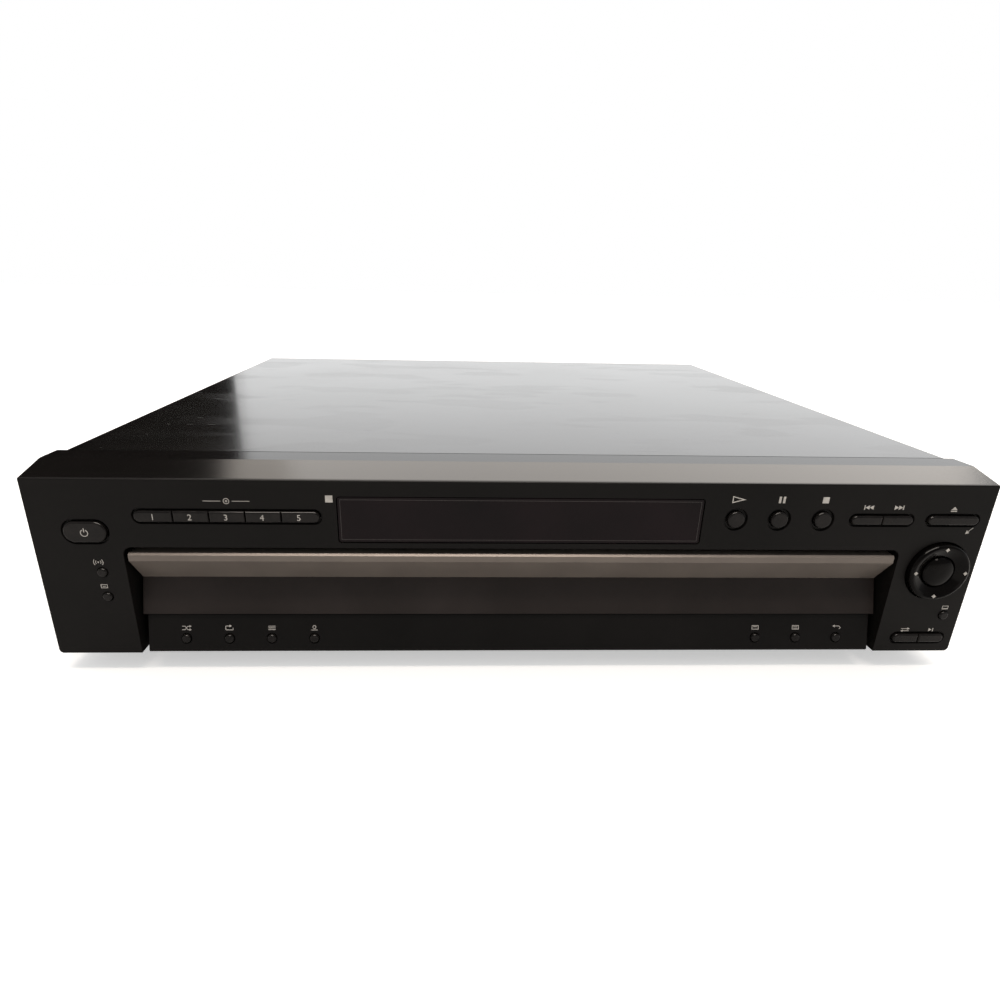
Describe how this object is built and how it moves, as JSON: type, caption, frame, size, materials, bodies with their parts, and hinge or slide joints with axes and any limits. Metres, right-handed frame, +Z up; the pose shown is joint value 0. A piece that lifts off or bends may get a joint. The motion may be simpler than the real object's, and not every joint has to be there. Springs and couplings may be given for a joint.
{
  "type": "carousel dvd changer",
  "caption": "Low hi-fi disc changer with a front drawer that carries a turning disc carousel, key groups, cursor ring and display window.",
  "frame": {"origin": "centre of the bounding box on the surface that the feet stand on", "axes": "+Z up, the front faces -Y, +X to the right seen from the front"},
  "size_m": [0.43, 0.401, 0.1],
  "materials": {
    "panel_plastic": "fine moulded texture",
    "fascia_plastic": "satin moulded",
    "key_plastic": "satin moulded",
    "gloss_plastic": "polished",
    "smoked_acrylic": "polished smoked acrylic",
    "display_glass": "glass tube",
    "silver_plastic": "silver painted",
    "painted_steel": "semi-gloss black paint",
    "zinc_steel": "zinc plated",
    "motor_steel": "pressed can",
    "black_screw": "black zinc",
    "circuit_board": "solder resist",
    "deck_plastic": "moulded",
    "tray_plastic": "moulded",
    "carousel_plastic": "fine moulded texture",
    "gear_nylon": "natural acetal",
    "unit_plastic": "moulded",
    "pickup_plastic": "moulded",
    "jack_plastic": "moulded",
    "foot_plastic": "moulded",
    "belt_rubber": "ground"
  },
  "bodies": {
    "case": {"front_panel": "panel_plastic", "display_window": "smoked_acrylic", "display_module": "display_glass", "lower_panel": "panel_plastic", "key_board": "circuit_board", "loading_motor": "motor_steel", "loading_belt": "belt_rubber", "mechanism_deck": "deck_plastic", "chuck_bridge": "zinc_steel", "base_chassis": "zinc_steel", "feet": "foot_plastic", "rear_panel": "painted_steel", "av_jacks": "jack_plastic", "main_board": "circuit_board", "power_board": "circuit_board", "cord_gland": "jack_plastic", "top_cover": "painted_steel", "case_screws": "black_screw"},
    "drawer": {"drawer_tray": "tray_plastic", "drawer_fascia": "fascia_plastic", "drawer_lip": "silver_plastic", "table_motor": "motor_steel"},
    "table": {"carousel": "carousel_plastic", "carousel_cap": "carousel_plastic"},
    "table_gear": {"table_gear": "gear_nylon"},
    "drawer_gear": {"drawer_gear": "gear_nylon"},
    "pulley_gear": {"pulley_gear": "gear_nylon"},
    "motor_pulley": {"motor_pulley": "gear_nylon"},
    "drive": {"base_unit": "unit_plastic"},
    "pickup": {"optical_pickup": "pickup_plastic"},
    "spindle": {"turntable": "unit_plastic"},
    "clamper": {"clamper": "gear_nylon"},
    "cam_slider": {"cam_slider": "gear_nylon"},
    "cursor_gimbal": {"cursor_gimbal": "gear_nylon"},
    "cursor_ring": {"cursor_ring": "gloss_plastic"},
    "enter_button": {"enter_button": "gloss_plastic"},
    "power_button": {"power_button": "key_plastic"},
    "disc_key_1": {"disc_key_1": "key_plastic"},
    "disc_key_2": {"disc_key_2": "key_plastic"},
    "disc_key_3": {"disc_key_3": "key_plastic"},
    "disc_key_4": {"disc_key_4": "key_plastic"},
    "disc_key_5": {"disc_key_5": "key_plastic"},
    "surround_button": {"surround_button": "key_plastic"},
    "picture_button": {"picture_button": "key_plastic"},
    "play_button": {"play_button": "key_plastic"},
    "pause_button": {"pause_button": "key_plastic"},
    "stop_button": {"stop_button": "key_plastic"},
    "previous_button": {"previous_button": "key_plastic"},
    "next_button": {"next_button": "key_plastic"},
    "open_close_button": {"open_close_button": "key_plastic"},
    "display_button": {"display_button": "key_plastic"},
    "exchange_button": {"exchange_button": "key_plastic"},
    "disc_skip_button": {"disc_skip_button": "key_plastic"},
    "shuffle_button": {"shuffle_button": "key_plastic"},
    "repeat_button": {"repeat_button": "key_plastic"},
    "program_button": {"program_button": "key_plastic"},
    "load_button": {"load_button": "key_plastic"},
    "title_button": {"title_button": "key_plastic"},
    "menu_button": {"menu_button": "key_plastic"},
    "return_button": {"return_button": "key_plastic"}
  },
  "joints": [
    {"name": "drawer_slide", "type": "slide", "parent": "case", "child": "drawer", "axis": [0, -1, 0], "range_m": [0, 0.24]},
    {"name": "carousel_spin", "type": "hinge", "parent": "drawer", "child": "table", "pos_m": [0, -0.0095, 0.05], "axis": [0, 0, 1], "continuous": true},
    {"name": "drive_lift", "type": "hinge", "parent": "case", "child": "drive", "pos_m": [0, 0.1765, 0.04], "axis": [-1, 0, 0], "range_deg": [0, 9.5]},
    {"name": "pickup_slide", "type": "slide", "parent": "drive", "child": "pickup", "axis": [0, 0.9863, 0.165], "range_m": [0, 0.03]},
    {"name": "turntable_spin", "type": "hinge", "parent": "drive", "child": "spindle", "pos_m": [0, 0.0976, 0.0268], "axis": [0, -0.165, 0.9863], "continuous": true},
    {"name": "clamper_spin", "type": "hinge", "parent": "case", "child": "clamper", "pos_m": [0, 0.0965, 0.066], "axis": [0, 0, 1], "continuous": true},
    {"name": "table_gear_spin", "type": "hinge", "parent": "drawer", "child": "table_gear", "pos_m": [0.07045, -0.05883, 0.046], "axis": [0, 0, 1], "continuous": true},
    {"name": "drawer_gear_spin", "type": "hinge", "parent": "case", "child": "drawer_gear", "pos_m": [-0.108, -0.1475, 0.022], "axis": [0, 0, 1], "range_deg": [-5, 1160]},
    {"name": "pulley_gear_spin", "type": "hinge", "parent": "case", "child": "pulley_gear", "pos_m": [-0.0705, -0.1475, 0.025], "axis": [0, 0, 1], "range_deg": [-4640, 20]},
    {"name": "motor_pulley_spin", "type": "hinge", "parent": "case", "child": "motor_pulley", "pos_m": [-0.0305, -0.1415, 0.027], "axis": [0, 0, 1], "range_deg": [-22040, 95]},
    {"name": "cam_slide", "type": "slide", "parent": "case", "child": "cam_slider", "axis": [1, 0, 0], "range_m": [0, 0.0345]},
    {"name": "cursor_tilt", "type": "hinge", "parent": "case", "child": "cursor_gimbal", "pos_m": [0.1972, -0.1916, 0.0537], "axis": [1, 0, 0], "range_deg": [-2, 2], "stiffness_Nm_per_rad": 0.4},
    {"name": "cursor_rock", "type": "hinge", "parent": "cursor_gimbal", "child": "cursor_ring", "pos_m": [0.1972, -0.1916, 0.0537], "axis": [0, 0, 1], "range_deg": [-2, 2], "stiffness_Nm_per_rad": 0.4},
    {"name": "enter_press", "type": "slide", "parent": "case", "child": "enter_button", "axis": [0, 1, 0], "range_m": [0, 0.0006], "stiffness_N_per_m": 500, "springref_m": -0.0004},
    {"name": "power_press", "type": "slide", "parent": "case", "child": "power_button", "axis": [0, 1, 0], "range_m": [0, 0.0006], "stiffness_N_per_m": 500, "springref_m": -0.0004},
    {"name": "disc_key_1_press", "type": "slide", "parent": "case", "child": "disc_key_1", "axis": [0, 1, 0], "range_m": [0, 0.0006], "stiffness_N_per_m": 500, "springref_m": -0.0004},
    {"name": "disc_key_2_press", "type": "slide", "parent": "case", "child": "disc_key_2", "axis": [0, 1, 0], "range_m": [0, 0.0006], "stiffness_N_per_m": 500, "springref_m": -0.0004},
    {"name": "disc_key_3_press", "type": "slide", "parent": "case", "child": "disc_key_3", "axis": [0, 1, 0], "range_m": [0, 0.0006], "stiffness_N_per_m": 500, "springref_m": -0.0004},
    {"name": "disc_key_4_press", "type": "slide", "parent": "case", "child": "disc_key_4", "axis": [0, 1, 0], "range_m": [0, 0.0006], "stiffness_N_per_m": 500, "springref_m": -0.0004},
    {"name": "disc_key_5_press", "type": "slide", "parent": "case", "child": "disc_key_5", "axis": [0, 1, 0], "range_m": [0, 0.0006], "stiffness_N_per_m": 500, "springref_m": -0.0004},
    {"name": "surround_press", "type": "slide", "parent": "case", "child": "surround_button", "axis": [0, 1, 0], "range_m": [0, 0.0006], "stiffness_N_per_m": 500, "springref_m": -0.0004},
    {"name": "picture_press", "type": "slide", "parent": "case", "child": "picture_button", "axis": [0, 1, 0], "range_m": [0, 0.0006], "stiffness_N_per_m": 500, "springref_m": -0.0004},
    {"name": "play_press", "type": "slide", "parent": "case", "child": "play_button", "axis": [0, 1, 0], "range_m": [0, 0.0006], "stiffness_N_per_m": 500, "springref_m": -0.0004},
    {"name": "pause_press", "type": "slide", "parent": "case", "child": "pause_button", "axis": [0, 1, 0], "range_m": [0, 0.0006], "stiffness_N_per_m": 500, "springref_m": -0.0004},
    {"name": "stop_press", "type": "slide", "parent": "case", "child": "stop_button", "axis": [0, 1, 0], "range_m": [0, 0.0006], "stiffness_N_per_m": 500, "springref_m": -0.0004},
    {"name": "previous_press", "type": "slide", "parent": "case", "child": "previous_button", "axis": [0, 1, 0], "range_m": [0, 0.0006], "stiffness_N_per_m": 500, "springref_m": -0.0004},
    {"name": "next_press", "type": "slide", "parent": "case", "child": "next_button", "axis": [0, 1, 0], "range_m": [0, 0.0006], "stiffness_N_per_m": 500, "springref_m": -0.0004},
    {"name": "open_close_press", "type": "slide", "parent": "case", "child": "open_close_button", "axis": [0, 1, 0], "range_m": [0, 0.0006], "stiffness_N_per_m": 500, "springref_m": -0.0004},
    {"name": "display_press", "type": "slide", "parent": "case", "child": "display_button", "axis": [0, 1, 0], "range_m": [0, 0.0006], "stiffness_N_per_m": 500, "springref_m": -0.0004},
    {"name": "exchange_press", "type": "slide", "parent": "case", "child": "exchange_button", "axis": [0, 1, 0], "range_m": [0, 0.0006], "stiffness_N_per_m": 500, "springref_m": -0.0004},
    {"name": "disc_skip_press", "type": "slide", "parent": "case", "child": "disc_skip_button", "axis": [0, 1, 0], "range_m": [0, 0.0006], "stiffness_N_per_m": 500, "springref_m": -0.0004},
    {"name": "shuffle_press", "type": "slide", "parent": "case", "child": "shuffle_button", "axis": [0, 1, 0], "range_m": [0, 0.0006], "stiffness_N_per_m": 500, "springref_m": -0.0004},
    {"name": "repeat_press", "type": "slide", "parent": "case", "child": "repeat_button", "axis": [0, 1, 0], "range_m": [0, 0.0006], "stiffness_N_per_m": 500, "springref_m": -0.0004},
    {"name": "program_press", "type": "slide", "parent": "case", "child": "program_button", "axis": [0, 1, 0], "range_m": [0, 0.0006], "stiffness_N_per_m": 500, "springref_m": -0.0004},
    {"name": "load_press", "type": "slide", "parent": "case", "child": "load_button", "axis": [0, 1, 0], "range_m": [0, 0.0006], "stiffness_N_per_m": 500, "springref_m": -0.0004},
    {"name": "title_press", "type": "slide", "parent": "case", "child": "title_button", "axis": [0, 1, 0], "range_m": [0, 0.0006], "stiffness_N_per_m": 500, "springref_m": -0.0004},
    {"name": "menu_press", "type": "slide", "parent": "case", "child": "menu_button", "axis": [0, 1, 0], "range_m": [0, 0.0006], "stiffness_N_per_m": 500, "springref_m": -0.0004},
    {"name": "return_press", "type": "slide", "parent": "case", "child": "return_button", "axis": [0, 1, 0], "range_m": [0, 0.0006], "stiffness_N_per_m": 500, "springref_m": -0.0004}
  ],
  "couplings": [
    {"joint": "table_gear_spin", "follows": "carousel_spin", "ratio": -5.1429},
    {"joint": "drawer_gear_spin", "follows": "drawer_slide", "rad_per_m": 83.333},
    {"joint": "pulley_gear_spin", "follows": "drawer_slide", "rad_per_m": -333.33},
    {"joint": "motor_pulley_spin", "follows": "drawer_slide", "rad_per_m": -1583.3},
    {"joint": "cam_slide", "follows": "drive_lift", "m_per_rad": 0.20506}
  ]
}
